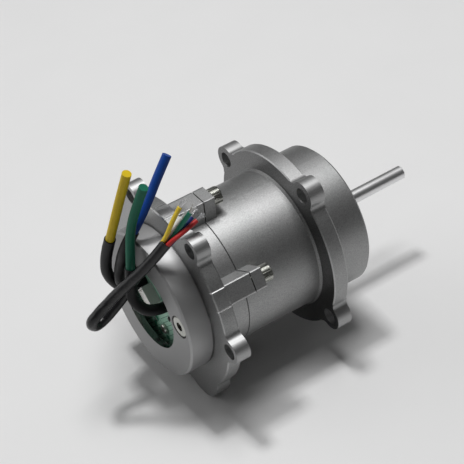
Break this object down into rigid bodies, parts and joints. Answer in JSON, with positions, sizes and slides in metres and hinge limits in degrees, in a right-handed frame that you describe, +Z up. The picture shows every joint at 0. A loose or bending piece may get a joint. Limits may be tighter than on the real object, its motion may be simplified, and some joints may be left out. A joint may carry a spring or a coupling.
{
  "type": "brushless motor",
  "caption": "Sensored inrunner brushless motor in a two-part lugged aluminium housing, with a plain shaft, a windowed rear cap and flying leads.",
  "frame": {"origin": "on the shaft axis, at the mounting face of the front lugged flange", "axes": "+X along the shaft towards its free end, +Z up as the motor lies on its lugs, +Y to the left seen along +X"},
  "size_m": [0.2085, 0.127, 0.1457],
  "materials": {
    "housing_metal": "fine blasted silver grey",
    "cap_metal": "fine turned satin",
    "screw_steel": "knurled zinc-plated heads",
    "shaft_steel": "ground and polished",
    "bearing_steel": "ground",
    "bearing_cage": "pressed strip",
    "spring_steel": "blued spring steel",
    "lamination": "stacked sheet edges",
    "insulation": "moulded",
    "copper": "enamelled winding wire",
    "magnet": "nickel-plated sintered magnet",
    "plate_brass": "turned balance plate",
    "board_green": "solder mask over fibreglass",
    "chip_black": "moulded epoxy",
    "connector_white": "moulded nylon",
    "sleeve_black": "shrunk insulating sleeve",
    "wire_yellow": "soft silicone insulation",
    "wire_green": "soft silicone insulation",
    "wire_blue": "soft silicone insulation",
    "wire_white": "soft insulation",
    "wire_red": "soft insulation",
    "tinned_copper": "tinned strands"
  },
  "bodies": {
    "housing": {"front_housing": "housing_metal", "rear_housing": "housing_metal", "rear_cap": "cap_metal", "housing_screws": "screw_steel", "cap_screws": "screw_steel", "board_screws": "screw_steel", "front_bearing_outer": "bearing_steel", "rear_bearing_outer": "bearing_steel", "preload_washer": "spring_steel", "sensor_board": "board_green", "hall_sensors": "chip_black", "signal_connector": "connector_white", "stator_core": "lamination", "insulator_rear": "insulation", "insulator_front": "insulation", "stator_coils": "copper", "sleeve_yellow": "sleeve_black", "lead_yellow": "wire_yellow", "sleeve_green": "sleeve_black", "lead_green": "wire_green", "sleeve_blue": "sleeve_black", "lead_blue": "wire_blue", "signal_sleeve": "sleeve_black", "signal_wire_white": "wire_white", "signal_wire_yellow": "wire_yellow", "signal_wire_green": "wire_green", "signal_wire_blue": "wire_blue", "signal_wire_red": "wire_red", "signal_wire_tips": "tinned_copper"},
    "rotor": {"shaft": "shaft_steel", "shaft_clip": "spring_steel", "rotor_core": "lamination", "rotor_magnets": "magnet", "rotor_plate_rear": "plate_brass", "rotor_plate_front": "plate_brass", "sensor_magnet": "magnet", "front_bearing_inner": "bearing_steel", "rear_bearing_inner": "bearing_steel"},
    "front_ball_train": {"front_bearing_balls": "bearing_steel", "front_bearing_cage": "bearing_cage"},
    "rear_ball_train": {"rear_bearing_balls": "bearing_steel", "rear_bearing_cage": "bearing_cage"}
  },
  "joints": [
    {"name": "rotor_spin", "type": "hinge", "parent": "housing", "child": "rotor", "pos_m": [0, 0, 0], "axis": [1, 0, 0], "continuous": true},
    {"name": "front_ball_orbit", "type": "hinge", "parent": "housing", "child": "front_ball_train", "pos_m": [0.0175, 0, 0], "axis": [1, 0, 0], "continuous": true},
    {"name": "rear_ball_orbit", "type": "hinge", "parent": "housing", "child": "rear_ball_train", "pos_m": [-0.0737, 0, 0], "axis": [1, 0, 0], "continuous": true}
  ],
  "couplings": [
    {"joint": "front_ball_orbit", "follows": "rotor_spin", "ratio": 0.368},
    {"joint": "rear_ball_orbit", "follows": "rotor_spin", "ratio": 0.368}
  ]
}
